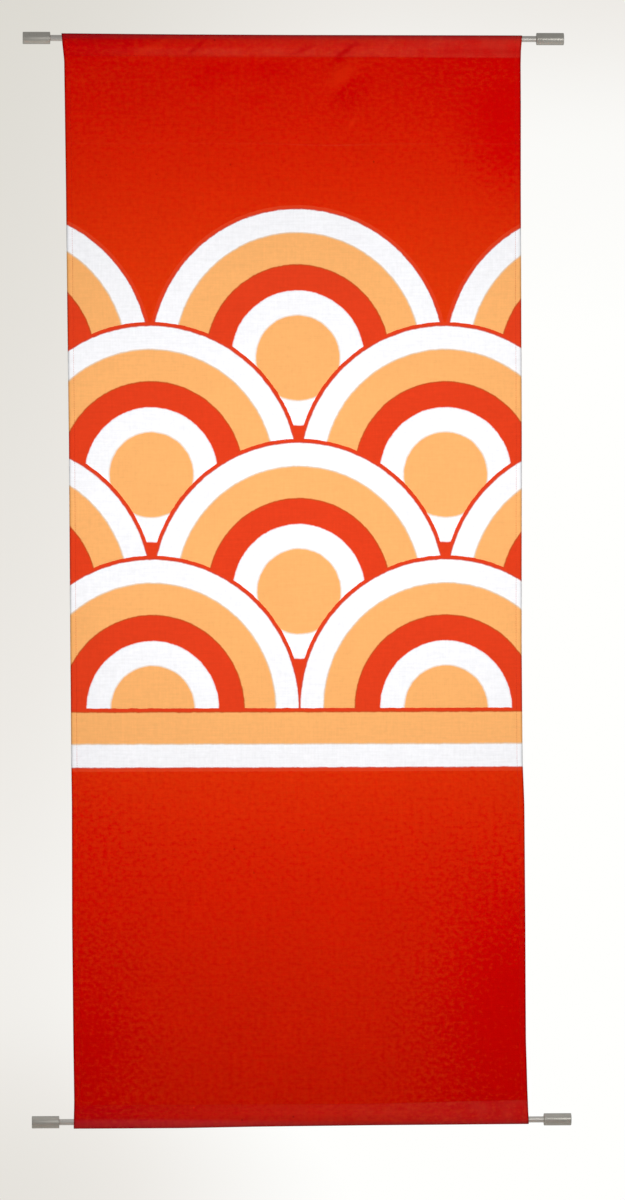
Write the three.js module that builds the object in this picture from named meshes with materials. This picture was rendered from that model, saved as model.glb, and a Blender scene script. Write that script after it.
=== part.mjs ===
// A long printed cloth banner. A steel rod runs through a sewn pocket along its top edge and another through
// a pocket along its bottom edge, and each rod has a round cap on both ends.
//
// Millimetres. +X is to the viewer's right, +Y goes to the wall behind and +Z is up.
// The origin is the middle of the top rod, on its centre line. "down" is a distance below that line.
import * as THREE from 'three';

// Rods and caps
const ROD_SPACING = 1419.4;
const ROD_RADIUS = 4;
const ROD_SIDES = 24;
const RODS_OVERALL = 709;
const BOTTOM_ROD_SHIFT = 9.2;
const CAP_RADIUS = 8;
const CAP_LENGTH = 36;
const CAP_CHAMFER = 1;
const CAP_BORE_DEPTH = 24;
const CAP_SIDES = 32;
const SEAT_GAP = 0.3;

// Cloth
const LAYER = 1;
const HEM_FOLD = 0.8;
const SIDE_HEM = 9;
const POCKET_HEM = 9;
const FOLD_STEP = 1;
const POCKET_DEPTH = 23.6;
const POCKET_EDGE = POCKET_DEPTH + 2;
const SEAM_SLANT = 1;
const SEAM_DIP = 0.25;
const LAYERS_MEET = 15;
const EASE_BELOW_SEAM = 18;
const LOOP_INNER = ROD_RADIUS + 0.35;
const LOOP_OUTER = LOOP_INNER + LAYER;
const LOOP_RISE = { from: 0, to: LOOP_INNER };
const LOOP_STEPS = 14;

// How finely the cloth is divided
const FINE_ROW = 12;
const COARSE_ROW = 62;
const FINE_REACH = 84;
const COLUMN = 22;

// The side edges, each measured from the middle of the top rod. The pockets stand a little proud of the
// cloth between them, which draws in towards the middle and hangs slightly off square.
const SIDES = [
  { down: -5, left: -303.9, right: 299.7 },
  { down: 15, left: -302, right: 298.3 },
  { down: 31, left: -300.4, right: 297.9 },
  { down: 94, left: -299.6, right: 298.3 },
  { down: 203, left: -298.3, right: 298.3 },
  { down: 368, left: -296.8, right: 298.9 },
  { down: 525, left: -295.1, right: 299.5 },
  { down: 788, left: -293.8, right: 299.1 },
  { down: 945, left: -292.8, right: 300.2 },
  { down: 1005, left: -292.1, right: 302.6 },
  { down: 1155, left: -292.1, right: 303.8 },
  { down: 1313, left: -290.8, right: 304.4 },
  { down: 1390, left: -289.8, right: 306.4 },
  { down: 1425, left: -290.5, right: 307.7 },
];

// How loosely each pocket wraps round its rod, from the left edge to the right
const TOP_SLACK = [
  { across: -304, slack: 1 },
  { across: -150, slack: 0.4 },
  { across: 0, slack: 0 },
  { across: 307, slack: 0 },
];
const BOTTOM_SLACK = [
  { across: -304, slack: 3.4 },
  { across: -150, slack: 3.2 },
  { across: -50, slack: 2.1 },
  { across: 100, slack: 1.1 },
  { across: 307, slack: 0.3 },
];

// Broad soft swells of the hanging cloth: how far each stands out towards the viewer
const SWELLS = [
  { across: -110, down: 420, wide: 190, tall: 260, out: 2.4 },
  { across: 170, down: 640, wide: 150, tall: 240, out: -1.8 },
  { across: 60, down: 980, wide: 180, tall: 230, out: 2.6 },
  { across: -190, down: 1080, wide: 120, tall: 210, out: -2.2 },
  { across: 230, down: 1210, wide: 90, tall: 150, out: -1.6 },
];

// Short drag lines under the top rod. Each leans up to the right, as a ridge (+) or a trough (-).
const DRAG_LINES = [
  { across: 66, down: 22, long: 22, wide: 9, lean: 38, out: -1 },
  { across: 62, down: 48, long: 26, wide: 14, lean: 48, out: 1.5 },
  { across: 80, down: 72, long: 30, wide: 12, lean: 52, out: -1.3 },
];

// The side edges turn back towards the wall between the pockets
const EDGE_CURL = 3.2;
const EDGE_CURL_REACH = 26;

// How far below the top rod, and above the bottom one, the cloth goes from held flat to folding freely.
// Drag lines start close to the pocket and swells much further on.
const DRAG_STARTS = { from: 6, to: 20 };
const SWELLS_START = { from: 10, to: 190 };

// The top seam's slant fades out this far above and below it
const SLANT_FADE = { from: 4, to: 18 };

const RED = 0xd41f0a;
const STEEL = 0x9b968c;

const radians = THREE.MathUtils.degToRad;
const smooth = (value, range) => THREE.MathUtils.smoothstep(value, range.from, range.to);

// Reads a named column of a short table at a place between its rows.
function readTable(table, place, column, at) {
  const last = table.length - 1;
  const next = table.findIndex((row) => row[place] >= at);
  if (next === 0) return table[0][column];
  if (next < 0) return table[last][column];
  const before = table[next - 1];
  const after = table[next];
  const share = (at - before[place]) / (after[place] - before[place]);
  return THREE.MathUtils.lerp(before[column], after[column], share);
}

// How far the cloth stands out towards the viewer. The rods hold it straight in the pockets.
function standOut(across, down) {
  const fromRod = Math.min(down, ROD_SPACING - down);
  const dragged = smooth(fromRod, DRAG_STARTS);
  const free = smooth(fromRod, SWELLS_START);
  let out = 0;
  for (const swell of SWELLS) {
    const x = (across - swell.across) / swell.wide;
    const z = (down - swell.down) / swell.tall;
    out += free * swell.out * Math.exp(-x * x - z * z);
  }
  for (const line of DRAG_LINES) {
    const x = across - line.across;
    const z = line.down - down;
    const along = x * Math.cos(radians(line.lean)) + z * Math.sin(radians(line.lean));
    const over = z * Math.cos(radians(line.lean)) - x * Math.sin(radians(line.lean));
    out += dragged * line.out * Math.exp(-((along / line.long) ** 2) - (over / line.wide) ** 2);
  }
  const left = across - readTable(SIDES, 'down', 'left', down);
  const right = readTable(SIDES, 'down', 'right', down) - across;
  const edge = Math.min(left, right) / EDGE_CURL_REACH;
  return out - free * EDGE_CURL * Math.exp(-edge * edge);
}

// The heights of the cloth's rows between its two pockets, close together near the pockets.
function panelRows() {
  const first = POCKET_DEPTH + EASE_BELOW_SEAM;
  const last = ROD_SPACING - first;
  const rows = [];
  for (let down = first; down < first + FINE_REACH; down += FINE_ROW) rows.push(down);
  const middle = last - 2 * COARSE_ROW - rows.at(-1);
  const count = Math.round(middle / COARSE_ROW);
  const start = rows.at(-1);
  for (let i = 1; i <= count; i++) rows.push(start + (i * middle) / count);
  rows.push(last - COARSE_ROW, last - COARSE_ROW / 2, last);
  return rows;
}

// One pocket's outline round its rod, as points of depth (-front, +back) and height above the rod's centre.
// The layers run from the loop at a tangent and lie together from LAYERS_MEET down to the seam.
function loop(radius, halfGap) {
  const reach = Math.hypot(halfGap, LAYERS_MEET);
  const start = Math.atan2(LAYERS_MEET, halfGap) - Math.acos(radius / reach);
  const points = [];
  for (let i = 0; i <= LOOP_STEPS; i++) {
    const angle = -start + (i / LOOP_STEPS) * (Math.PI + 2 * start);
    points.push([radius * Math.cos(angle), radius * Math.sin(angle)]);
  }
  return points;
}

// The upper pocket's front and back faces below the loop, with the seam and the turned-under hem.
const POCKET_FRONT = [
  [-LAYER, LAYERS_MEET],
  [-LAYER + SEAM_DIP, POCKET_DEPTH],
  [-LAYER, POCKET_EDGE],
];
const POCKET_BACK = [
  [0, POCKET_EDGE + FOLD_STEP],
  [LAYER + HEM_FOLD, POCKET_EDGE],
  [LAYER + HEM_FOLD, POCKET_DEPTH - POCKET_HEM],
  [LAYER, POCKET_DEPTH - POCKET_HEM - FOLD_STEP],
];

// The cloth's section from front to back and from top to bottom, with a hole for each rod.
function clothSection() {
  const top = loop(LOOP_OUTER, LAYER);
  const bottom = top.map(([depth, up]) => [-depth, -ROD_SPACING - up]);
  const rows = panelRows();
  const mirrored = (down) => -ROD_SPACING + down;
  const outline = [
    ...top,
    ...POCKET_FRONT.map(([depth, down]) => [depth, -down]),
    ...rows.map((down) => [-LAYER / 2, -down]),
    ...POCKET_FRONT.map(([depth, down]) => [depth, mirrored(down)]).reverse(),
    ...bottom,
    ...POCKET_BACK.map(([depth, down]) => [depth, mirrored(down)]).reverse(),
    ...rows.map((down) => [LAYER / 2, -down]).reverse(),
    ...POCKET_BACK.map(([depth, down]) => [depth, -down]),
  ];
  const toVectors = (points) => points.map(([depth, z]) => new THREE.Vector2(depth, z));
  const shape = new THREE.Shape(toVectors(outline));
  const tunnel = [...loop(LOOP_INNER, 0), [0, -LAYERS_MEET]];
  shape.holes.push(new THREE.Path(toVectors(tunnel)));
  shape.holes.push(new THREE.Path(toVectors(tunnel.map(([depth, z]) => [depth, -ROD_SPACING - z]))));
  return shape;
}

// How far in from the left edge each column of the cloth lies, as a share of its width. The side hems end
// at a column of their own, with the step of the fold beside it.
function columns() {
  const width = SIDES[0].right - SIDES[0].left;
  const hem = SIDE_HEM / width;
  const step = FOLD_STEP / width;
  const inner = 1 - 2 * (hem + step);
  const count = Math.round((inner * width) / COLUMN);
  const shares = [0, hem];
  for (let i = 0; i <= count; i++) shares.push(hem + step + (inner * i) / count);
  shares.push(1 - hem, 1);
  return shares;
}

// The cloth is its section drawn out sideways, then set to its outline, hems and folds, point by point.
function clothGeometry() {
  const shares = columns();
  const last = shares.length - 1;
  const settings = { depth: last, steps: last, bevelEnabled: false };
  const geometry = new THREE.ExtrudeGeometry(clothSection(), settings);
  const position = geometry.getAttribute('position');
  for (let i = 0; i < position.count; i++) {
    const column = Math.round(position.getZ(i));
    let depth = position.getX(i);
    let z = position.getY(i);
    const left = readTable(SIDES, 'down', 'left', -z);
    const right = readTable(SIDES, 'down', 'right', -z);
    const across = THREE.MathUtils.lerp(left, right, shares[column]);
    const inHem = column <= 1 || column >= last - 1;
    const fromEnd = Math.min(-z, ROD_SPACING + z);
    if (inHem && depth >= 0 && fromEnd > POCKET_EDGE + FOLD_STEP / 2) depth += HEM_FOLD;
    depth -= standOut(across, -z);

    const nearTopSeam = 1 - smooth(Math.abs(-z - POCKET_DEPTH), SLANT_FADE);
    const overTopRod = smooth(z, LOOP_RISE);
    const underBottomRod = smooth(-ROD_SPACING - z, LOOP_RISE);
    z -= nearTopSeam * SEAM_SLANT * (across / right);
    z += overTopRod * readTable(TOP_SLACK, 'across', 'slack', across);
    z -= underBottomRod * readTable(BOTTOM_SLACK, 'across', 'slack', across);
    position.setXYZ(i, across, depth, z);
  }
  geometry.computeVertexNormals();
  return geometry;
}

// A turned piece along X, from points of radius and place along it.
function turned(points, sides) {
  const profile = points.map(([radius, along]) => new THREE.Vector2(radius, along));
  return new THREE.LatheGeometry(profile, sides).rotateZ(-Math.PI / 2);
}

function rodGeometry() {
  const half = RODS_OVERALL / 2 - CAP_LENGTH + CAP_BORE_DEPTH - SEAT_GAP;
  const profile = [
    [0, -half],
    [ROD_RADIUS, -half],
    [ROD_RADIUS, half],
    [0, half],
  ];
  return turned(profile, ROD_SIDES);
}

// A cap for the right-hand end of a rod, its bored end at 0.
function capGeometry() {
  const bore = ROD_RADIUS + SEAT_GAP;
  const rim = CAP_RADIUS - CAP_CHAMFER;
  const profile = [
    [0, CAP_BORE_DEPTH],
    [bore, CAP_BORE_DEPTH],
    [bore, 0],
    [rim, 0],
    [CAP_RADIUS, CAP_CHAMFER],
    [CAP_RADIUS, CAP_LENGTH - CAP_CHAMFER],
    [rim, CAP_LENGTH],
    [0, CAP_LENGTH],
  ];
  return turned(profile, CAP_SIDES);
}

const clothFinish = new THREE.MeshStandardMaterial({ color: RED, roughness: 0.9, metalness: 0 });
const steelFinish = new THREE.MeshStandardMaterial({ color: STEEL, roughness: 0.35, metalness: 1 });

function namedMesh(name, geometry, material) {
  const mesh = new THREE.Mesh(geometry, material);
  mesh.name = name;
  return mesh;
}

// A rod with its two caps, around its own middle.
function rodWithCaps(name) {
  const group = new THREE.Group();
  const capPlace = RODS_OVERALL / 2 - CAP_LENGTH;
  const rod = namedMesh(`${name}_rod`, rodGeometry(), steelFinish);
  const rightCap = namedMesh(`${name}_cap_right`, capGeometry(), steelFinish);
  const leftCap = namedMesh(`${name}_cap_left`, capGeometry(), steelFinish);
  rightCap.position.x = capPlace;
  leftCap.position.x = -capPlace;
  leftCap.rotation.z = Math.PI;
  group.add(rod, leftCap, rightCap);
  return group;
}

const topRod = rodWithCaps('top');
const bottomRod = rodWithCaps('bottom');
bottomRod.position.set(BOTTOM_ROD_SHIFT, 0, -ROD_SPACING);

const banner = new THREE.Group();
banner.add(namedMesh('banner_cloth', clothGeometry(), clothFinish), topRod, bottomRod);

export default banner;
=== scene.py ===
import math

import bpy
import numpy as np
from mathutils import Matrix, Vector


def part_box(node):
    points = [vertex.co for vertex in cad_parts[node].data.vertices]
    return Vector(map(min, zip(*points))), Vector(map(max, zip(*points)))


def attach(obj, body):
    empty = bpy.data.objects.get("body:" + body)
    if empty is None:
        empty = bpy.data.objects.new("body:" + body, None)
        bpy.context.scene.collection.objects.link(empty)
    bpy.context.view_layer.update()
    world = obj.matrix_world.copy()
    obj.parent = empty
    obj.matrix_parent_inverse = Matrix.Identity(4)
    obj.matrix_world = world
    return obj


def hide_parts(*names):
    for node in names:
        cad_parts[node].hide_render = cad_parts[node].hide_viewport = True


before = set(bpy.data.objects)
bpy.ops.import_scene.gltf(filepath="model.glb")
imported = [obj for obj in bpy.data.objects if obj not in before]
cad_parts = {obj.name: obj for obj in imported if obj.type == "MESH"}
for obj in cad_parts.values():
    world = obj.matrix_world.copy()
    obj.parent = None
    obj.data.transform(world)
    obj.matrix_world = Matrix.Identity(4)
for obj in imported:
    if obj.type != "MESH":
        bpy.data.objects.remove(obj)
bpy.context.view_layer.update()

# Sizes are in millimetres, and MM turns them into Blender's metres. +X is to the viewer's right, +Y goes to
# the wall behind and +Z is up. The origin is the middle of the top rod, and "down" is a distance below it.
MM = 0.001


def table(names, *rows):
    """A list of dictionaries, from the names of the columns and a row of values for each."""
    return [dict(zip(names.split(), row)) for row in rows]


def node_place(node):
    """A node's middle and half sizes, in millimetres."""
    low, high = (np.array(corner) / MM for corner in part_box(node))
    return (low + high) / 2, (high - low) / 2


# The camera, found from the corners of the banner in the photograph
PHOTO_HEIGHT_PX = 1200
FOCAL_PX = 6099.5
SENSOR = 36
CAMERA_AZIMUTH = -2.572
CAMERA_ELEVATION = 1.010
CAMERA_ROLL = -0.0644
CAMERA_DISTANCE = 8000
CAMERA_SEES_TO = 100000
CAMERA_AIM = (23.79, 0, -735.32)

# The rods, from the frame
TOP_ROD, TOP_ROD_HALF = node_place("top_rod")
BOTTOM_ROD, _ = node_place("bottom_rod")
ROD_RADIUS = TOP_ROD_HALF[2]
ROD_SPACING = TOP_ROD[2] - BOTTOM_ROD[2]

# The cloth's driving sizes
PLY = 0.4
PLY_PITCH = 0.43
POCKET_FACE = 1
POCKET_BACK_FACE = 1.8
PANEL_FACE = 0.5
LOOP_RADIUS = ROD_RADIUS + 0.6
LAYERS_MEET = 15
POCKET_DEPTH = 23.6
POCKET_EDGE = POCKET_DEPTH + 2
POCKET_HEM = 9
FOLD_STEP = 1
EASE_BELOW_SEAM = 18
SEAM_DIP = 0.12
SEAM_DIP_REACH = 0.8
SEAM_SOFT = (3.6, 1.2)
SEAM_SOFT_REACH = (-120, 160)
TOP_SEAM_SLANT = 1
LOW_SEAM_RISE = (-2.3, 2)
LOW_SEAM_REACH = (50, 325)
SIDE_HEM = 9
HEM_STITCHES_IN = 7.5
HEM_DIP = 0.12
HEM_DIP_REACH = 0.9
HEM_FOLD_RADIUS = 0.45
POCKET_FOLD_RADIUS = PLY_PITCH / 2
HEM_FOLD_FROM_ROD = (30, 60)
FLAP_SETTLES = (1, 6)

# The side edges, each measured from the middle of the top rod
SIDES = table(
    "down left right",
    (-5, -303.9, 299.7),
    (15, -302, 298.3),
    (31, -300.4, 297.9),
    (94, -299.6, 298.3),
    (203, -298.3, 298.3),
    (368, -296.8, 298.9),
    (525, -295.1, 299.5),
    (788, -293.8, 299.1),
    (945, -292.8, 300.2),
    (1005, -292.1, 302.6),
    (1155, -292.1, 303.8),
    (1313, -290.8, 304.4),
    (1390, -289.8, 306.4),
    (1425, -290.5, 307.7),
)

# How loosely each pocket wraps round its rod, from the left edge to the right
TOP_SLACK = table(
    "across slack",
    (-304, 1.6),
    (-150, 0.5),
    (0, 0.1),
    (307, 0.1),
)
BOTTOM_SLACK = table(
    "across slack",
    (-304, 4.2),
    (-150, 4.2),
    (-50, 2.9),
    (100, 1.9),
    (307, 1.4),
)

# Broad soft swells of the hanging cloth: how far each stands out towards the viewer
SWELLS = table(
    "across down wide tall out",
    (-110, 420, 190, 260, 2.4),
    (170, 640, 150, 240, -1.8),
    (60, 980, 180, 230, 2.6),
    (-190, 1080, 120, 210, -2.2),
    (230, 1210, 90, 150, -1.6),
)

# Drag lines under the top rod. Each leans up to the right, as a ridge (+) or a trough (-).
DRAG_LINES = table(
    "across down long wide lean out",
    (66, 22, 22, 9, 38, -1),
    (62, 48, 26, 14, 48, 1.5),
    (80, 72, 30, 12, 52, -1.3),
)

# Small sharp creases in and just under the top pocket
CREASES = table(
    "across down long wide lean out",
    (70, 14.5, 13, 3.4, 36, -0.58),
    (59, 23, 6, 3, 62, -0.3),
    (266, 15, 75, 3.4, 0, -0.22),
    (11, 15.5, 13, 3, 22, -0.4),
    (-132, 15, 13, 3, 38, -0.45),
    (-221, 11, 10, 3, 42, -0.2),
    (-190, 14, 26, 5, 24, 0.2),
    (63, 70, 22, 6.5, 44, -0.26),
    (76, 110, 7, 2.6, 52, 0.3),
)

# Where the cloth was once pressed in a fold: a fine line across it, brightest and lowest near the middle
PRESSED_LINE = {"down": 137.5, "sag": 2.2, "wide": 0.9, "out": 0.3, "bright_at": 45, "bright_reach": 60}
PRESSED_LINE_LEAST = 0.35

# The curl of the side edges, and how far from a rod or a seam the other forms of the cloth start or fade
EDGE_CURL = 3.2
EDGE_CURL_REACH = 26
DRAG_STARTS = (6, 20)
CREASE_STARTS = (4, 8)
SWELLS_START = (10, 190)
SLANT_FADE = (4, 18)

# How finely the cloth is divided. The rows of the pockets and their flaps are measured from the rod, and
# those of the pressed line from that line.
FINE_ROW = 3.2
COARSE_ROW = 6.6
FINE_ROWS_TO = 130
COLUMN = 6.8
LOOP_STEPS = 18
POCKET_ROWS = (17.5, 20, 21.8, 22.8, POCKET_DEPTH, 24.4, 25.4, 27, 29.5, 32.5, 36, 39)
FLAP_ROWS = (POCKET_DEPTH, 20.5, 17.5, POCKET_DEPTH - POCKET_HEM)
PRESSED_ROWS = (-4, -2.4, -1.2, -0.4, 0.4, 1.2, 2, 2.8, 3.6, 5)

# The painted shade on the rim of the side edges, the paler side hems and the share of the print that
# strikes through
RIM_REACH = 1.8
HEM_HAZE = 0.06
HEM_HAZE_SOFT = 0.6
STRIKE_THROUGH = 0.55

# Stitches
STITCH_PITCH = 3
STITCH_LENGTH = 2.5
STITCH_SIDES = 5
STITCH_END_RADIUS = 0.1
STITCH_END_RISE = -0.12
STITCH_RISE = 0.1
THREAD_RADIUS = 0.17

# The rods and caps
TURNED_SIDES = 96
CORNER_STEPS = 7
SHARP_FROM = 50
ROD_EDGE = 0.5
CAP_EDGE = 0.9
CAP_MOUTH_EDGE = 0.4
CAP_BORE_GAP = 0.3
CAP_BORE_DEPTH = 24

# The studio
STUDIO_IN_STEEL = 0.36
FLOOR_HEIGHT = -1800
FLOOR_RADIUS = 2200
FLOOR_FADES = (0.5, 0.97)
FLOOR_PATCH_SCALE = 6
FLOOR_LIT = 0.5
FLOOR_IN_STEEL = 0.17

# The soft lights. Each either shows in the steel or lights the cloth.
LIGHTS = table(
    "name size place facing power spread in_steel",
    ("key", (1300, 700), (60, -2500, -610), (0, 1, 0), 8.8, 64, False),
    ("streak", (1400, 900), (520, -2500, -540), (0, 1, 0), 8, 180, True),
    ("glow_up", (1400, 1400), (0, 50, -610), (0, 0, 1), 0.95, 180, True),
    ("glow_down", (1400, 1400), (0, 50, -610), (0, 0, -1), 0.95, 180, True),
    ("back_panel", (1600, 900), (0, 900, -610), (0, -1, 0), 3, 180, False),
)

# The backdrop's tone and the studio's brightness by direction: from, to, and the value at each
TOP_DIMS = (-0.07, 0.085, 0.61, 0.03)
BOTTOM_DIMS = (-0.116, -0.08, 0.33, 0.0)
RIGHT_BRIGHTENS = (-0.01, 0.06, 0.0, 0.75)
TOP_RIGHT_DIMS = (0.055, 0.085, 1.0, 0.6)
STUDIO_BEHIND = (-0.3, 0.5, 0.25, 0.5)
STUDIO_ABOVE = (0.1, 0.8, 1.0, 0.5)


def column(rows, name):
    return np.array([row[name] for row in rows], float)


def read_table(rows, place, name, at):
    """A named column of a short table, at places between its rows."""
    return np.interp(at, column(rows, place), column(rows, name))


def smooth(value, reach):
    """A soft step, from 0 at the start of the reach to 1 at its end."""
    share = np.clip((np.asarray(value, float) - reach[0]) / (reach[1] - reach[0]), 0, 1)
    return share * share * (3 - 2 * share)


def lerp(start, end, share):
    return start + (end - start) * share


def folds(lines, across, down):
    """The sum of the leaning ridges and troughs in a table."""
    total = np.zeros(np.broadcast(across, down).shape)
    for line in lines:
        lean = math.radians(line["lean"])
        x = across - line["across"]
        z = line["down"] - down
        along = x * math.cos(lean) + z * math.sin(lean)
        over = z * math.cos(lean) - x * math.sin(lean)
        total += line["out"] * np.exp(-((along / line["long"]) ** 2) - (over / line["wide"]) ** 2)
    return total


def stand_out(across, down):
    """How far the cloth stands out towards the viewer."""
    from_rod = np.minimum(down, ROD_SPACING - down)
    free = smooth(from_rod, SWELLS_START)
    out = smooth(from_rod, DRAG_STARTS) * folds(DRAG_LINES, across, down)
    out += smooth(from_rod, CREASE_STARTS) * folds(CREASES, across, down)
    for swell in SWELLS:
        x = (across - swell["across"]) / swell["wide"]
        z = (down - swell["down"]) / swell["tall"]
        out += free * swell["out"] * np.exp(-x * x - z * z)
    left = across - read_table(SIDES, "down", "left", down)
    right = read_table(SIDES, "down", "right", down) - across
    out -= free * EDGE_CURL * np.exp(-((np.minimum(left, right) / EDGE_CURL_REACH) ** 2))
    strength = np.exp(-(((across - PRESSED_LINE["bright_at"]) / PRESSED_LINE["bright_reach"]) ** 2))
    line_down = PRESSED_LINE["down"] + PRESSED_LINE["sag"] * strength
    line = np.exp(-(((down - line_down) / PRESSED_LINE["wide"]) ** 2))
    return out + PRESSED_LINE["out"] * lerp(PRESSED_LINE_LEAST, 1, strength) * line


def top_pocket():
    """The middle line of the cloth round the top rod, as (depth, height) points from the turned-under edge
    up the back, over the rod and down the front to the first row of the panel."""
    front = -POCKET_FACE + PLY / 2
    back = POCKET_BACK_FACE - PLY / 2
    hem = front + 2 * PLY_PITCH + SEAM_DIP
    radius = (back - hem) / 2
    turn_height = -(POCKET_EDGE - radius)
    hem_top = -(POCKET_EDGE - POCKET_HEM)
    points = [(hem, height) for height in np.linspace(hem_top, turn_height, 5)[:-1]]
    for angle in np.linspace(math.pi, 2 * math.pi, 8):
        points.append((hem + radius + radius * math.cos(angle), turn_height + radius * math.sin(angle)))
    points += [(back, -below) for below in FLAP_ROWS]
    inner = POCKET_FACE - PLY / 2
    points.append((inner, FOLD_STEP - FLAP_ROWS[-1]))

    loop = LOOP_RADIUS - PLY / 2
    start = math.atan2(LAYERS_MEET, inner) - math.acos(loop / math.hypot(inner, LAYERS_MEET))
    first = (loop * math.cos(start), -loop * math.sin(start))
    points += [tuple(lerp(np.array(points[-1]), np.array(first), share)) for share in (0.33, 0.67)]
    for angle in np.linspace(-start, math.pi + start, LOOP_STEPS + 1):
        points.append((loop * math.cos(angle), loop * math.sin(angle)))

    last = np.array(points[-1])
    meet = np.array((front, -LAYERS_MEET))
    points += [tuple(lerp(last, meet, share)) for share in (0.2, 0.4, 0.6, 0.8, 1)]
    for below in POCKET_ROWS:
        dip = SEAM_DIP * math.exp(-(((below - POCKET_DEPTH) / SEAM_DIP_REACH) ** 2))
        ease = smooth(below, (POCKET_EDGE, POCKET_DEPTH + EASE_BELOW_SEAM))
        points.append((lerp(front, -PANEL_FACE + PLY / 2, ease) + dip, -below))
    return points


def panel_heights():
    """The rows of the hanging cloth, closer together near the top and at the pressed line."""
    first = POCKET_DEPTH + EASE_BELOW_SEAM
    last = ROD_SPACING - first
    fine = np.arange(first, FINE_ROWS_TO, FINE_ROW)
    pressed = PRESSED_LINE["down"] + np.array(PRESSED_ROWS)
    start = pressed[-1] + FINE_ROW
    coarse = np.linspace(start, last, round((last - start) / COARSE_ROW) + 1)
    return -np.concatenate([fine, pressed, coarse])


def section():
    """The whole middle line from the top pocket's turned-under edge to the bottom one's."""
    top = top_pocket()
    panel = [(-PANEL_FACE + PLY / 2, height) for height in panel_heights()]
    bottom = [(depth, -ROD_SPACING - height) for depth, height in reversed(top)]
    return np.array(top + panel + bottom), len(top)


def cloth_columns():
    """For each column of one side: how far it lies in from the edge, and how far round the hem's fold it
    is, from 0 on the front to 1 on the flap behind. Then the shares of the width between the two sides."""
    flap = [SIDE_HEM, HEM_STITCHES_IN, 6, 4, 2.2]
    arc = [1, 0.75, 0.5, 0.25, 0]
    front = [0.8, 1.5, 3, 5, 6.2, 6.9, HEM_STITCHES_IN, 8.1, 8.8, SIDE_HEM + 1, 12]
    side = [(inset, 1) for inset in flap]
    side += [(0, turn) for turn in arc]
    side += [(inset, 0) for inset in front]
    inset, turn = np.array(side, float).T
    width = SIDES[0]["right"] - SIDES[0]["left"]
    middle = np.linspace(0, 1, round((width - 2 * front[-1]) / COLUMN) + 1)[1:-1]
    return inset, turn, middle


def nearest_row(line, depth, down):
    return int(np.argmin(np.hypot(line[:, 0] - depth, line[:, 1] + down)))


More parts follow.
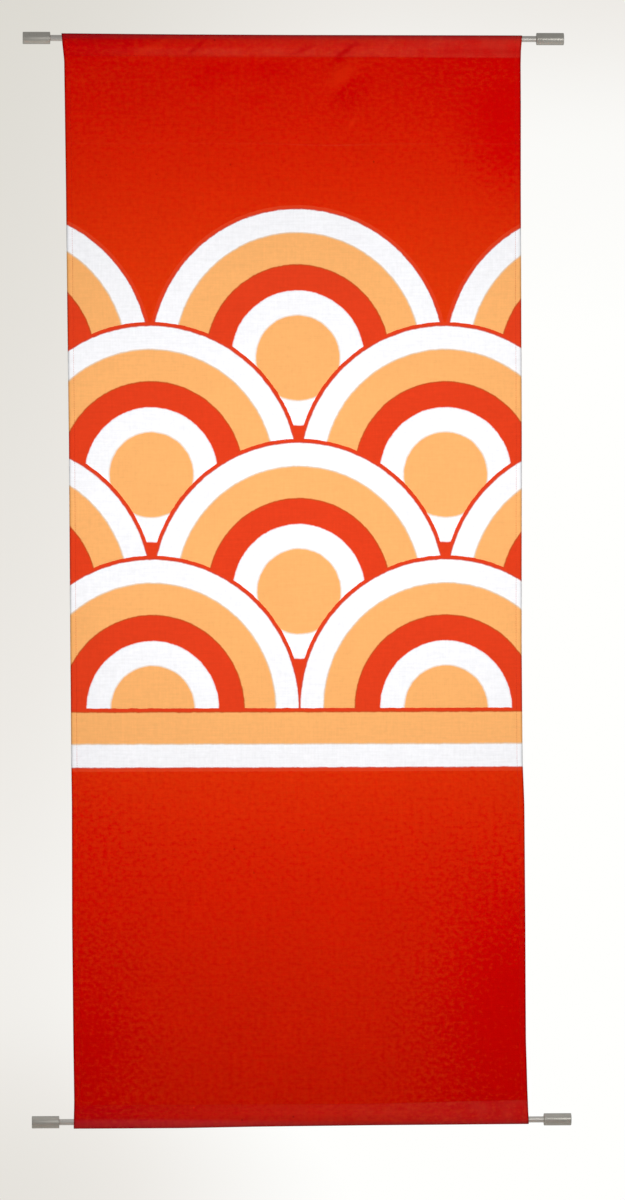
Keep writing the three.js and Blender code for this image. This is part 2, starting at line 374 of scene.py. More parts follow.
def cloth_grid():
    """The cloth's middle surface as a grid of points, with what its finish and its stitches need."""
    line, first_panel_row = section()
    tangent = np.gradient(line, axis=0)
    tangent /= np.linalg.norm(tangent, axis=1, keepdims=True)
    outward = np.stack([tangent[:, 1], -tangent[:, 0]], axis=1)
    depth, height = line[:, :1], line[:, 1:]
    down = -height
    from_rod = np.minimum(down, ROD_SPACING - down)
    radius = lerp(POCKET_FOLD_RADIUS, HEM_FOLD_RADIUS, smooth(from_rod, HEM_FOLD_FROM_ROD))

    inset, turn, middle = cloth_columns()
    on_arc = inset == 0
    angle = turn * math.pi
    flap_gap = lerp(2 * radius, PLY_PITCH, smooth(inset, FLAP_SETTLES))
    groove = HEM_DIP * np.exp(-(((inset - HEM_STITCHES_IN) / HEM_DIP_REACH) ** 2)) * (turn == 0)
    arc_in_by = PLY / 2 + radius * (1 - np.sin(angle))
    in_by = np.where(on_arc, arc_in_by, np.maximum(inset, PLY / 2 + radius))
    behind = np.where(on_arc, radius * (1 - np.cos(angle)), turn * flap_gap + groove)
    plain = np.zeros((len(line), len(middle)))
    left = read_table(SIDES, "down", "left", down)
    right = read_table(SIDES, "down", "right", down)
    between = lerp(left + inset[-1], right - inset[-1], middle)
    across = np.hstack([left + in_by, between, (right - in_by)[:, ::-1]])
    behind = np.hstack([behind, plain, behind[:, ::-1]])
    from_edge = np.hstack([in_by, plain + COLUMN + SIDE_HEM, in_by[:, ::-1]])

    y = depth - outward[:, :1] * behind
    z = height - outward[:, 1:] * behind
    y = y - stand_out(across, -z)
    loop_rise = (0, LOOP_RADIUS - POCKET_FACE)
    moved = z - (1 - smooth(np.abs(-z - POCKET_DEPTH), SLANT_FADE)) * TOP_SEAM_SLANT * across / right
    near_low_seam = 1 - smooth(np.abs(ROD_SPACING - POCKET_DEPTH + z), SLANT_FADE)
    moved += near_low_seam * lerp(*LOW_SEAM_RISE, smooth(across, LOW_SEAM_REACH))
    moved += smooth(z, loop_rise) * read_table(TOP_SLACK, "across", "slack", across)
    moved -= smooth(-ROD_SPACING - z, loop_rise) * read_table(BOTTOM_SLACK, "across", "slack", across)

    run = np.concatenate([[0], np.cumsum(np.linalg.norm(np.diff(line, axis=0), axis=1))])
    flat_down = run - run[first_panel_row] - line[first_panel_row, 1]
    width = SIDES[0]["right"] - SIDES[0]["left"]
    flat_across = (across - left) / (right - left) * width + SIDES[0]["left"]
    place = np.stack([flat_across, np.broadcast_to(flat_down[:, None], across.shape), 0 * across], axis=2)
    soft = lerp(*SEAM_SOFT, smooth(across, SEAM_SOFT_REACH))
    from_end = np.minimum(flat_down, ROD_SPACING - flat_down)[:, None]
    in_pocket = smooth(from_end, (POCKET_DEPTH + soft, POCKET_DEPTH - soft))
    in_hem = smooth(from_edge, (SIDE_HEM + HEM_HAZE_SOFT, SIDE_HEM - HEM_HAZE_SOFT)) * HEM_HAZE
    front = -POCKET_FACE + PLY / 2
    back = POCKET_BACK_FACE - PLY / 2
    return {
        "points": np.stack([across, y, moved], axis=2),
        "place": place,
        "layers": np.maximum(in_pocket, in_hem),
        "rim": np.exp(-((from_edge / RIM_REACH) ** 2)),
        "front_seam": nearest_row(line, front, POCKET_DEPTH),
        "back_seam": nearest_row(line, back, POCKET_DEPTH),
        "front_columns": np.flatnonzero(np.concatenate([turn == 0, middle >= 0, (turn == 0)[::-1]])),
        "hem_column": int(np.flatnonzero((inset == HEM_STITCHES_IN) & (turn == 0))[0]),
        "flap_column": int(np.flatnonzero((inset == HEM_STITCHES_IN) & (turn == 1))[0]),
    }


def grid_normals(points):
    """The printed side's outward direction at each point of the grid."""
    normal = np.cross(np.gradient(points, axis=0), np.gradient(points, axis=1))
    return normal / np.linalg.norm(normal, axis=2, keepdims=True)


def shell_faces(rows, columns):
    """Quads for two grids of points, back to back and closed round the rim, the printed side first."""
    index = np.arange(rows * columns).reshape(rows, columns)
    a, b, c, d = index[:-1, :-1], index[:-1, 1:], index[1:, 1:], index[1:, :-1]
    printed = np.stack([a, d, c, b], axis=2).reshape(-1, 4)
    reverse = printed[:, ::-1] + rows * columns
    rim = np.concatenate([index[0, :], index[1:, -1], index[-1, -2::-1], index[-2:0:-1, 0]])
    following = np.roll(rim, -1)
    edge = np.stack([rim, following, following + rows * columns, rim + rows * columns], axis=1)
    return printed, np.concatenate([reverse, edge])


def make_mesh(name, points, faces, materials):
    """A new smooth-shaded object from points in millimetres."""
    mesh = bpy.data.meshes.new(name)
    mesh.from_pydata((np.asarray(points) * MM).tolist(), [], [list(map(int, face)) for face in faces])
    for material in materials:
        mesh.materials.append(material)
    mesh.shade_smooth()
    piece = bpy.data.objects.new(name, mesh)
    bpy.context.scene.collection.objects.link(piece)
    return piece


def set_attribute(piece, name, kind, values):
    """Stores one number, or one vector, for each point of the piece."""
    attribute = piece.data.attributes.new(name, kind, "POINT")
    field = "vector" if kind == "FLOAT_VECTOR" else "value"
    attribute.data.foreach_set(field, np.ascontiguousarray(values, np.float32).ravel())


# Shader building

def linear(red, green, blue):
    """A colour as a screen shows it, from 0 to 255, in the linear light that shaders use."""
    def channel(value):
        value /= 255
        return value / 12.92 if value <= 0.04045 else ((value + 0.055) / 1.055) ** 2.4
    return channel(red), channel(green), channel(blue), 1.0


NOISE_ROUGHNESS = 0.6


class Shader:
    """Adds nodes to a material or world and links them."""

    def __init__(self, owner):
        owner.use_nodes = True
        self.tree = owner.node_tree
        self.tree.nodes.clear()

    def add(self, kind, inputs=None, **settings):
        made = self.tree.nodes.new(kind)
        for name, value in settings.items():
            setattr(made, name, value)
        for name, value in (inputs or {}).items():
            if isinstance(value, bpy.types.NodeSocket):
                self.tree.links.new(value, made.inputs[name])
            else:
                made.inputs[name].default_value = value
        return made

    def math(self, operation, first, second=0.0, third=0.0):
        inputs = {0: first, 1: second, 2: third}
        return self.add("ShaderNodeMath", inputs, operation=operation).outputs[0]

    def plus(self, *values):
        total = values[0]
        for value in values[1:]:
            total = self.math("ADD", total, value)
        return total

    def minus(self, first, second):
        return self.math("SUBTRACT", first, second)

    def times(self, first, second):
        return self.math("MULTIPLY", first, second)

    def squares(self, first, second):
        return self.plus(self.times(first, first), self.times(second, second))

    def vector(self, operation, first, second):
        inputs = {0: first, 1: second}
        return self.add("ShaderNodeVectorMath", inputs, operation=operation).outputs[0]

    def blend(self, share, first, second, mode="MIX"):
        inputs = {0: share, 6: first, 7: second}
        return self.add("ShaderNodeMix", inputs, data_type="RGBA", blend_type=mode).outputs[2]

    def choose(self, share, first, second):
        """The first number where the share is 0 and the second where it is 1."""
        return self.add("ShaderNodeMix", {0: share, 2: first, 3: second}, data_type="FLOAT").outputs[0]

    def between(self, value, low, high, to_low=0.0, to_high=1.0, kind="SMOOTHSTEP"):
        """A soft step from to_low at low to to_high at high, or a straight one where the kind is LINEAR."""
        inputs = {0: value, 1: low, 2: high, 3: to_low, 4: to_high}
        return self.add("ShaderNodeMapRange", inputs, interpolation_type=kind).outputs[0]

    def noise(self, vector, scale, detail=2.0, stretch=(1, 1, 1), output=0):
        stretched = self.vector("MULTIPLY", vector, stretch)
        inputs = {"Vector": stretched, "Scale": scale, "Detail": detail, "Roughness": NOISE_ROUGHNESS}
        return self.add("ShaderNodeTexNoise", inputs).outputs[output]

    def ramp(self, value, stops, interpolation="LINEAR"):
        made = self.add("ShaderNodeValToRGB", {0: value})
        made.color_ramp.interpolation = interpolation
        elements = made.color_ramp.elements
        elements[0].position, elements[0].color = stops[0]
        elements[1].position, elements[1].color = stops[-1]
        for position, colour in stops[1:-1]:
            elements.new(position).color = colour
        return made.outputs[0]

    def attribute(self, name, output="Fac"):
        return self.add("ShaderNodeAttribute", attribute_name=name).outputs[output]

    def place(self, kind="Object"):
        return self.add("ShaderNodeTexCoord").outputs[kind]

    def split(self, vector):
        return tuple(self.add("ShaderNodeSeparateXYZ", {0: vector}).outputs)

    def grey(self, value):
        return self.add("ShaderNodeCombineXYZ", {0: value, 1: value, 2: value}).outputs[0]

    def output(self, surface):
        self.add("ShaderNodeOutputMaterial", {"Surface": surface})

    def finish(self, colour, height, bump, inputs):
        """The surface itself. bump is its strength and its depth in metres."""
        relief = {"Strength": bump[0], "Distance": bump[1], "Height": height}
        normal = self.add("ShaderNodeBump", relief).outputs[0]
        surface = self.add("ShaderNodeBsdfPrincipled", {"Base Color": colour, "Normal": normal, **inputs})
        self.output(surface.outputs[0])


# The cloth's colours
GROUND = linear(215, 27, 2)
# The deep red is used for the random mottle and also for the painted shade of the dim ends, corners and
# crease troughs
GROUND_DEEP = linear(211, 2, 1)
# Painted light: the warmer red where the light is brightest
GROUND_PAINTED_LIGHT = linear(218, 55, 10)
BAND_RED = linear(220, 61, 28)
BAND_ORANGE = linear(244, 174, 105)
WHITE = linear(243, 243, 246)
EDGE_OF_RED_AND_WHITE = linear(176, 74, 66)
EDGE_OF_RED_AND_ORANGE = linear(184, 74, 24)
EDGE_OF_ORANGE_AND_WHITE = linear(222, 190, 156)
UNPRINTED = linear(226, 214, 204)
# The haze and the pocket tints pale the pockets and hems, partly for their second layer and partly as a
# painted sheen. The haze also makes the painted highlights on ridges and the pressed line.
HAZE = (0.0, 0.022, 0.0105, 1.0)
TOP_POCKET_TINT = (0.0, 0.0, 0.0016, 1.0)
LOW_POCKET_TINT = (0.0, 0.0, 0.0034, 1.0)
# Painted highlights where the cloth wraps over the top and bottom rods
TOP_ROD_PAINTED_HIGHLIGHT = (0.0, 0.011, 0.016, 1.0)
LOW_ROD_PAINTED_HIGHLIGHT = (0.0, 0.015, 0.018, 1.0)
THREAD_RED = linear(200, 24, 9)
THREAD_DARK = linear(172, 15, 6)
CAP_STEEL = (linear(190, 186, 176), linear(218, 214, 205))
ROD_STEEL = (linear(212, 207, 199), linear(236, 231, 224))
STEEL_TONES = (0.3, 0.7)
STEEL_ROUGHNESS = (0.26, 0.34)
BACKDROP = [
    (0.0, linear(219, 216, 208)),
    (0.5, linear(237, 234, 229)),
    (1.0, linear(255, 255, 253)),
]
FLOOR_COLOURS = (linear(228, 226, 221), linear(238, 236, 232))

# The finishes: how strong and how deep in metres each bump is, then what is the same all over
CLOTH_BUMP = (0.5, 0.0002)
CLOTH_FINISH = {"Roughness": 0.95, "Specular IOR Level": 0.03}
THREAD_BUMP = (0.4, 0.0001)
THREAD_FINISH = {"Roughness": 0.6, "Specular IOR Level": 0.2}
THREAD_TWIST_SCALE = 2500
STEEL_BUMP = (0.15, 0.00001)
DRAWN_MARKS_SCALE = (25, 1400, 1400)
TURNED_MARKS_SCALE = 2.4
ROD_SMUDGES = {"scale": 60, "share": 0.5}
CAP_SMUDGES = {"scale": 90, "share": 0.6}

# The noises that make the weave: how each darkens the cloth and whether it stands up in the bump
WEAVE = table(
    "scale detail stretch shade height",
    (0.16, 3.0, (1, 1, 1), 0.14, 0),
    (0.012, 2.0, (1, 1, 1), 0.08, 0),
    (0.42, 2.0, (0.07, 1, 1), 0.14, 1),
    (0.42, 2.0, (1, 0.07, 1), 0.1, 1),
    (1.1, 1.0, (0.12, 1, 1), 0, 1),
    (1.1, 1.0, (1, 0.12, 1), 0, 1),
)
# Painted shade on the rim of the side edges, where the cloth turns under
RIM_PAINTED_SHADE = 0.5
CREASE_RELIEF = 0.6

# Painted light and shade in the ground's red: warmer where the light is brightest, in the middle, and
# deeper where it is dimmer, at the top and in the corners. Places are across, or below the top rod.
PAINTED_LIGHT_AT = 606
PAINTED_LIGHT_MOST = 0.95
PAINTED_LIGHT_REACH = (200, 540)
PAINTED_SHADE_AT_TOP = 0.42
PAINTED_SHADE_TOP_REACH = (20, 150)
PAINTED_SHADE_CORNERS_FROM = (390, 690)
PAINTED_SHADE_ON_RIGHT = 0.9
PAINTED_SHADE_ON_LEFT = 0.6
RIGHT_REACH = (60, 280)
LEFT_REACH = (-130, -300)
MOTTLE = {"scale": 0.19, "detail": 3.0, "stretch": (0.8, 1, 1)}
MOTTLE_ON_DYE = (0.34, 0.66, -1.0, 1.0)
MOTTLE_ON_CREASES = (0.35, 0.65, 0.4, 1.6)
MOTTLE_REACH = (150, 800)
MOTTLE_SHARES = (0.4, 0.64)
PAINTED_LIGHT_UNEVEN = 0.3

# Soft patches in the ground's red, each deeper (+) or warmer (-) than the ground round it
GROUND_PATCHES = table(
    "across down wide tall deepens",
    (282, 135, 52, 85, 0.75),
    (-270, 52, 50, 22, -0.2),
    (262, 50, 50, 22, -0.3),
    (-106, 42, 30, 13, 0.4),
    (-34, 42, 34, 13, 0.4),
    (-124, 60, 18, 10, 0.3),
    (-50, 80, 16, 9, 0.3),
    (-285, 1010, 60, 90, 0.3),
    (-285, 1320, 55, 70, 0.35),
    (20, 1170, 230, 150, -0.3),
    (275, 1240, 75, 150, 0.45),
)

# The printed pattern: rows of overlapping scallops, each row shifted by half a scallop and lying over the
# row above it, with a straight border below. Their rings are listed from the middle outwards.
SCALLOP_RADIUS = 200
SCALLOP_SPACING = 392
PATTERN_TOP = 218
PATTERN_BOTTOM = 960
PATTERN_BORDER = 83
PATTERN_ROWS = 4
PATTERN_MIDDLE = 1.5
RINGS = table(
    "to colour edge",
    (56, BAND_ORANGE, EDGE_OF_ORANGE_AND_WHITE),
    (88, WHITE, EDGE_OF_RED_AND_WHITE),
    (122, BAND_RED, EDGE_OF_RED_AND_ORANGE),
    (164, BAND_ORANGE, EDGE_OF_ORANGE_AND_WHITE),
    (195, WHITE, EDGE_OF_RED_AND_WHITE),
    (200, BAND_RED, BAND_RED),
)
EDGE_LINE = 0.55
EDGE_WOBBLE = 0.9
WOBBLE_SCALE = 0.11

# Dark slubs in the weave, with one light one
SLUBS = table(
    "across down size shade",
    (104, 161, 1.7, 0.66),
    (-86, 165, 1.5, 0.75),
    (-250, 179, 1.3, 0.8),
    (-184, 178, 1.3, 0.82),
    (-214, 149, 1.3, 0.82),
    (232, 98, 1.5, 0.75),
    (-104, 2, 1.6, 0.7),
    (-88, 1062, 1.6, 0.7),
    (-62, 1093, 1.5, 0.75),
    (5, 1037, 1.5, 0.75),
    (-13, 1414, 1.6, 0.7),
    (-81, 1418, 1.5, 0.65),
    (-145, 1399, 1.5, 1.3),
)
SLUB_WIDTH_TO_HEIGHT = 0.8

# How strongly the creases and the pressed line are painted into the colour: painted shade in the troughs,
# painted highlight on the ridges and the line
DRAG_LINES_SHOW = 0.3
CREASES_SHOW = 2.2
CREASE_PAINTED_SHADE = 0.1
CREASE_TROUGH_PAINTED_SHADE = 1.0
CREASE_RIDGE_PAINTED_HIGHLIGHT = 0.13
CREASE_PAINTED_SHADE_IN_POCKET = 0.6
PRESSED_LINE_PAINTED_HIGHLIGHT = 0.42

# The pockets look paler than one layer of cloth, partly from their second layer and partly from a painted
# sheen, and more so from left to right: the reach across and how pale it gets. Both carry painted shade
# towards their rods, darkest where the cloth turns over them, and a painted highlight on the cloth over
# each rod.
PALE_BY_TOP_ROD = (-180, 280, 0, 1)
PALE_BY_TOP_SEAM = (-290, -100, 0, 0.8)
TOP_SEAM_FROM_ROD = (9, 18)
PALE_IN_LOW_POCKET = (-170, 250, 0, 0.65)
# Painted shade at the pockets' left ends
LEFT_POCKET_REACH = (-290, -80)
LEFT_POCKET_PAINTED_SHADE = 0.95
QUARTER_TURN = 8
LOW_POCKET_HANGS = (-200, 60, 4.5, 2.5)
# Where the painted highlight over each rod shows
TOP_ROD_SHOWS = (-4, 3)
LOW_ROD_SHOWS_FROM = (-200, 60, 4, -3)
LOW_ROD_SHOWS_TO = (-200, 60, 10, 3)
# Painted shade near the rods, darkest over them
POCKET_SHADE_REACH = (4, 14)
POCKET_PAINTED_SHADES = (60, 260, 0.9, 0.97)
OVER_ROD_REACH = (-2.5, 4.5)
OVER_ROD_PAINTED_SHADE = 0.72
HAZE_PATCHES = {"scale": 0.045, "detail": 3.0}
HAZE_UNEVEN = (0.36, 0.64, 0.55, 1.25)


def gaussian(shader, value, reach):
    """1 where the value is 0, falling away over the reach."""
    share = shader.math("DIVIDE", value, reach)
    return shader.math("EXPONENT", shader.times(shader.times(share, share), -1.0))


def crease_value(shader, x, y):
    """The height of the creases and drag lines at each point, a ridge above 0 and a trough below."""
    total = 0.0
    shown = [(line, line["out"] * DRAG_LINES_SHOW) for line in DRAG_LINES]
    shown += [(line, line["out"] * CREASES_SHOW) for line in CREASES]
    for line, height in shown:
        lean = math.radians(line["lean"])
        aside = shader.minus(x, line["across"])
        above = shader.minus(line["down"], y)
        along = shader.plus(shader.times(aside, math.cos(lean)), shader.times(above, math.sin(lean)))
        over = shader.minus(shader.times(above, math.cos(lean)), shader.times(aside, math.sin(lean)))
        shape = shader.times(gaussian(shader, along, line["long"]), gaussian(shader, over, line["wide"]))
        total = shader.math("MULTIPLY_ADD", shape, height, total)
    return total


def pressed_line_value(shader, x, y):
    """1 on the fine pressed line where it is brightest, and 0 away from it."""
    strength = gaussian(shader, shader.minus(x, PRESSED_LINE["bright_at"]), PRESSED_LINE["bright_reach"])
    line_down = shader.math("MULTIPLY_ADD", strength, PRESSED_LINE["sag"], PRESSED_LINE["down"])
    line = gaussian(shader, shader.minus(y, line_down), PRESSED_LINE["wide"])
    return shader.times(line, shader.between(strength, 0.0, 1.0, PRESSED_LINE_LEAST, 1.0, "LINEAR"))


def ground_patches(shader, x, y):
    """How much the soft patches deepen the ground's red at each point."""
    total = 0.0
    for patch in GROUND_PATCHES:
        aside = gaussian(shader, shader.minus(x, patch["across"]), patch["wide"])
        below = gaussian(shader, shader.minus(y, patch["down"]), patch["tall"])
        total = shader.math("MULTIPLY_ADD", shader.times(aside, below), patch["deepens"], total)
    return total


def limit(shader, value):
    return shader.math("MAXIMUM", shader.math("MINIMUM", value, 1.0), 0.0)


def ground_colour(shader, place, x, y, crease):
    """The printed red, with painted light warming it in the lit middle and painted shade deepening it
    towards the dimmer ends and sides, in soft patches.
    """
    from_warm = shader.math("ABSOLUTE", shader.minus(y, PAINTED_LIGHT_AT))
    mottle = shader.noise(place, **MOTTLE)
    # Painted shade and light from the creases: troughs deepen the red and ridges warm it
    folded = shader.times(crease, shader.between(mottle, *MOTTLE_ON_CREASES, "LINEAR"))
    strength = shader.between(y, *MOTTLE_REACH, *MOTTLE_SHARES, "LINEAR")
    uneven = shader.plus(
        ground_patches(shader, x, y),
        shader.times(shader.between(mottle, *MOTTLE_ON_DYE, "LINEAR"), strength),
        shader.times(folded, -CREASE_TROUGH_PAINTED_SHADE),
    )
    # Painted shade: the red deepens at the top and in the dimmer corners
    corners = shader.between(from_warm, *PAINTED_SHADE_CORNERS_FROM)
    deep = shader.plus(
        shader.between(y, *PAINTED_SHADE_TOP_REACH, PAINTED_SHADE_AT_TOP, 0.0),
        shader.times(corners, shader.between(x, *RIGHT_REACH, 0.0, PAINTED_SHADE_ON_RIGHT)),
        shader.times(corners, shader.between(x, *LEFT_REACH, 0.0, PAINTED_SHADE_ON_LEFT)),
        uneven,
    )
    plain = shader.blend(limit(shader, deep), GROUND, GROUND_DEEP)
    # Painted light: the red warms in the brightly lit middle
    warm = shader.between(from_warm, *PAINTED_LIGHT_REACH, PAINTED_LIGHT_MOST, 0.0)
    warm = shader.math("MULTIPLY_ADD", uneven, -PAINTED_LIGHT_UNEVEN, warm)
    return shader.blend(limit(shader, warm), plain, GROUND_PAINTED_LIGHT)


def rod_distance(shader, x, y):
    """How far each point lies from the nearer rod along the cloth, below 0 where it turns over the rod."""
    low_rod = shader.plus(shader.between(x, *LOW_POCKET_HANGS, "LINEAR"), ROD_SPACING)
    nearer = shader.math("MINIMUM", y, shader.minus(low_rod, y))
    past_top = shader.math("ABSOLUTE", shader.plus(nearer, QUARTER_TURN))
    return shader.minus(past_top, QUARTER_TURN)


def pocket_painted_shade(shader, layers, from_rod, x):
    """The painted shade of the pockets: at the left, near the rods and over them."""
    left = shader.between(x, *LEFT_POCKET_REACH, LEFT_POCKET_PAINTED_SHADE, 1.0)
    near = shader.between(from_rod, *POCKET_SHADE_REACH, shader.between(x, *POCKET_PAINTED_SHADES), 1.0)
    over = shader.between(from_rod, *OVER_ROD_REACH, OVER_ROD_PAINTED_SHADE, 1.0)
    return shader.times(shader.choose(layers, 1.0, left), shader.times(near, over))


def add_haze(shader, colour, place, layers, from_rod, x, y, crease):
    """Makes the colour paler: in the pockets, partly for their second layer and partly as a painted sheen,
    and with painted highlights over the rods, on ridges and on the pressed line.
    """
    lower = shader.math("GREATER_THAN", y, ROD_SPACING / 2)
    by_rod = shader.between(x, *PALE_BY_TOP_ROD, "LINEAR")
    by_seam = shader.between(x, *PALE_BY_TOP_SEAM, "LINEAR")
    above = shader.choose(shader.between(y, *TOP_SEAM_FROM_ROD), by_rod, by_seam)
    share = shader.choose(lower, above, shader.between(x, *PALE_IN_LOW_POCKET, "LINEAR"))
    # Painted shade: the pockets stay less pale in crease troughs
    trough = shader.math("MINIMUM", shader.times(crease, CREASE_PAINTED_SHADE_IN_POCKET), 0.0)
    share = limit(shader, shader.times(share, shader.plus(trough, 1.0)))
    pocket = shader.times(layers, share)
    # Painted highlights on the crease ridges and along the pressed line
    ridge = shader.times(shader.math("MAXIMUM", crease, 0.0), CREASE_RIDGE_PAINTED_HIGHLIGHT)
    pressed = shader.times(pressed_line_value(shader, x, y), PRESSED_LINE_PAINTED_HIGHLIGHT)
    uneven = shader.between(shader.noise(place, **HAZE_PATCHES), *HAZE_UNEVEN, "LINEAR")
    pale = shader.times(shader.plus(pocket, ridge, pressed), uneven)
    # Painted highlight on the cloth over the rods
    top_rod = shader.between(from_rod, *TOP_ROD_SHOWS, 1.0, 0.0)
    start = shader.between(x, *LOW_ROD_SHOWS_FROM, "LINEAR")
    end = shader.between(x, *LOW_ROD_SHOWS_TO, "LINEAR")
    low_rod = shader.between(from_rod, start, end, 1.0, 0.0)
    rod = shader.times(layers, shader.choose(lower, top_rod, low_rod))
    pocket_tint = shader.blend(lower, TOP_POCKET_TINT, LOW_POCKET_TINT)
    rod_highlight = shader.blend(lower, TOP_ROD_PAINTED_HIGHLIGHT, LOW_ROD_PAINTED_HIGHLIGHT)
    for amount, tint in ((pale, HAZE), (layers, pocket_tint), (rod, rod_highlight)):
        colour = shader.blend(amount, colour, tint, "ADD")
    return colour


def pattern_distance(shader, x, y):
    """How far each point is from the middle of the scallop that shows there, or a larger number outside.
    The border below has the outer rings' colours."""
    border_top = PATTERN_BOTTOM - PATTERN_BORDER
    first = PATTERN_TOP + SCALLOP_RADIUS
    pitch = (border_top - first) / (PATTERN_ROWS - 1)
    nearest = 2.0 * SCALLOP_RADIUS
    half = SCALLOP_SPACING / 2
    for row in range(PATTERN_ROWS):
        shift = PATTERN_MIDDLE + half * (row % 2)
        wrapped = shader.math("WRAP", shader.minus(x, shift - half), SCALLOP_SPACING, 0.0)
        aside = shader.minus(wrapped, half)
        below = shader.minus(y, first + row * pitch)
        distance = shader.math("SQRT", shader.squares(aside, below))
        inside = shader.math("LESS_THAN", distance, SCALLOP_RADIUS)
        nearest = shader.choose(inside, nearest, distance)
    in_border = shader.math("GREATER_THAN", y, border_top)
    return shader.choose(in_border, nearest, shader.plus(y, SCALLOP_RADIUS - PATTERN_BOTTOM))


def print_colour(shader, place, ground):
    """The printed colours: the red ground with the scallops on it."""
    wobble = shader.vector("SUBTRACT", shader.noise(place, WOBBLE_SCALE, output="Color"), (0.5,) * 3)
    moved = shader.vector("MULTIPLY", wobble, (2 * EDGE_WOBBLE,) * 3)
    x, y, _ = shader.split(shader.vector("ADD", place, moved))
    distance = pattern_distance(shader, x, y)
    reach = 2 * SCALLOP_RADIUS
    stops = []
    for ring, following in zip(RINGS, RINGS[1:] + RINGS[-1:]):
        stops.append(((ring["to"] - EDGE_LINE) / reach, ring["colour"]))
        stops.append((ring["to"] / reach, ring["edge"]))
        stops.append(((ring["to"] + EDGE_LINE) / reach, following["colour"]))
    rings = shader.ramp(shader.math("DIVIDE", distance, reach), stops)
    outside = shader.math("GREATER_THAN", distance, SCALLOP_RADIUS)
    return shader.blend(outside, rings, ground)


def weave(shader, place):
    """A shade near 1 for the uneven dye and yarn, and a height for the bump."""
    shade = 1.0
    height = 0.0
    for row in WEAVE:
        value = shader.noise(place, row["scale"], row["detail"], row["stretch"])
        shade = shader.math("MULTIPLY_ADD", shader.minus(value, 0.5), row["shade"], shade)
        height = shader.math("MULTIPLY_ADD", value, row["height"], height)
    return shade, height


def slub_shade(shader, x, y, shade):
    """The shade with the slubs in it."""
    for slub in SLUBS:
        aside = shader.minus(x, slub["across"])
        below = shader.times(shader.minus(y, slub["down"]), SLUB_WIDTH_TO_HEIGHT)
        spot = shader.between(shader.squares(aside, below), 0.0, slub["size"] ** 2, slub["shade"], 1.0)
        shade = shader.times(shade, spot)
    return shade


def paint_cloth(shader, strike_through):
    """Matt printed cloth. On its reverse only a part of the print strikes through."""
    place = shader.attribute("place", "Vector")
    layers = shader.attribute("layers")
    x, y, _ = shader.split(place)
    crease = crease_value(shader, x, y)
    from_rod = rod_distance(shader, x, y)
    shade, height = weave(shader, place)
    shade = slub_shade(shader, x, y, shade)
    # Painted shade along the rim of the side edges
    shade = shader.times(shade, shader.between(shader.attribute("rim"), 0.0, 1.0, 1.0, RIM_PAINTED_SHADE, "LINEAR"))
    # Painted shade in the crease troughs and painted light on their ridges
    shade = shader.times(shade, shader.math("MULTIPLY_ADD", crease, CREASE_PAINTED_SHADE, 1.0))
    # Painted shade in the pockets, near the rods and over them
    shade = shader.times(shade, pocket_painted_shade(shader, layers, from_rod, x))
    colour = print_colour(shader, place, ground_colour(shader, place, x, y, crease))
    colour = shader.blend(strike_through, UNPRINTED, colour)
    # Paler pockets, partly for their second layer and partly a painted sheen, and painted highlights
    colour = add_haze(shader, colour, place, layers, from_rod, x, y, crease)
    colour = shader.blend(1.0, colour, shader.grey(shade), "MULTIPLY")
    relief = shader.math("MULTIPLY_ADD", crease, CREASE_RELIEF, height)
    shader.finish(colour, relief, CLOTH_BUMP, CLOTH_FINISH)


def paint_thread(shader):
    twist = shader.noise(shader.place(), THREAD_TWIST_SCALE, 1.0)
    shader.finish(shader.blend(twist, THREAD_DARK, THREAD_RED), twist, THREAD_BUMP, THREAD_FINISH)


def paint_steel(shader, marks, smudges, colours):
    """Satin steel, with its fine tool marks given as a noise from 0 to 1."""
    height = marks(shader)
    tone = shader.choose(smudges["share"], height, shader.noise(shader.place(), smudges["scale"]))
    roughness = shader.between(tone, *STEEL_TONES, *STEEL_ROUGHNESS, "LINEAR")
    finish = {"Metallic": 1.0, "Roughness": roughness}
    shader.finish(shader.blend(tone, *colours), height, STEEL_BUMP, finish)


def drawn_marks(shader):
    """Marks that run along a drawn rod."""
    return shader.noise(shader.place(), 1.0, 3.0, DRAWN_MARKS_SCALE)


def turned_marks(shader):
    """Rings left by turning a cap, from its marks attribute: the distance along it and from its axis."""
    return shader.noise(shader.attribute("marks", "Vector"), TURNED_MARKS_SCALE)


# The cloth and its stitches

def make_cloth(grid, print_side, reverse_side):
    """The cloth as one closed thin sheet, hemmed at the sides and folded round both rods."""
    points = grid["points"]
    normals = grid_normals(points)
    outer = (points + normals * PLY / 2).reshape(-1, 3)
    inner = (points - normals * PLY / 2).reshape(-1, 3)
    printed, reverse = shell_faces(*points.shape[:2])
    faces = np.concatenate([printed, reverse])
    cloth = make_mesh("cloth_sheet", np.concatenate([outer, inner]), faces, [print_side, reverse_side])
    side = np.repeat([0, 1], [len(printed), len(reverse)]).astype(np.int32)
    cloth.data.polygons.foreach_set("material_index", side)
    for name, kind in (("place", "FLOAT_VECTOR"), ("layers", "FLOAT"), ("rim", "FLOAT")):
        values = grid[name].reshape(len(outer), -1)
        set_attribute(cloth, name, kind, np.concatenate([values, values]))
    return cloth


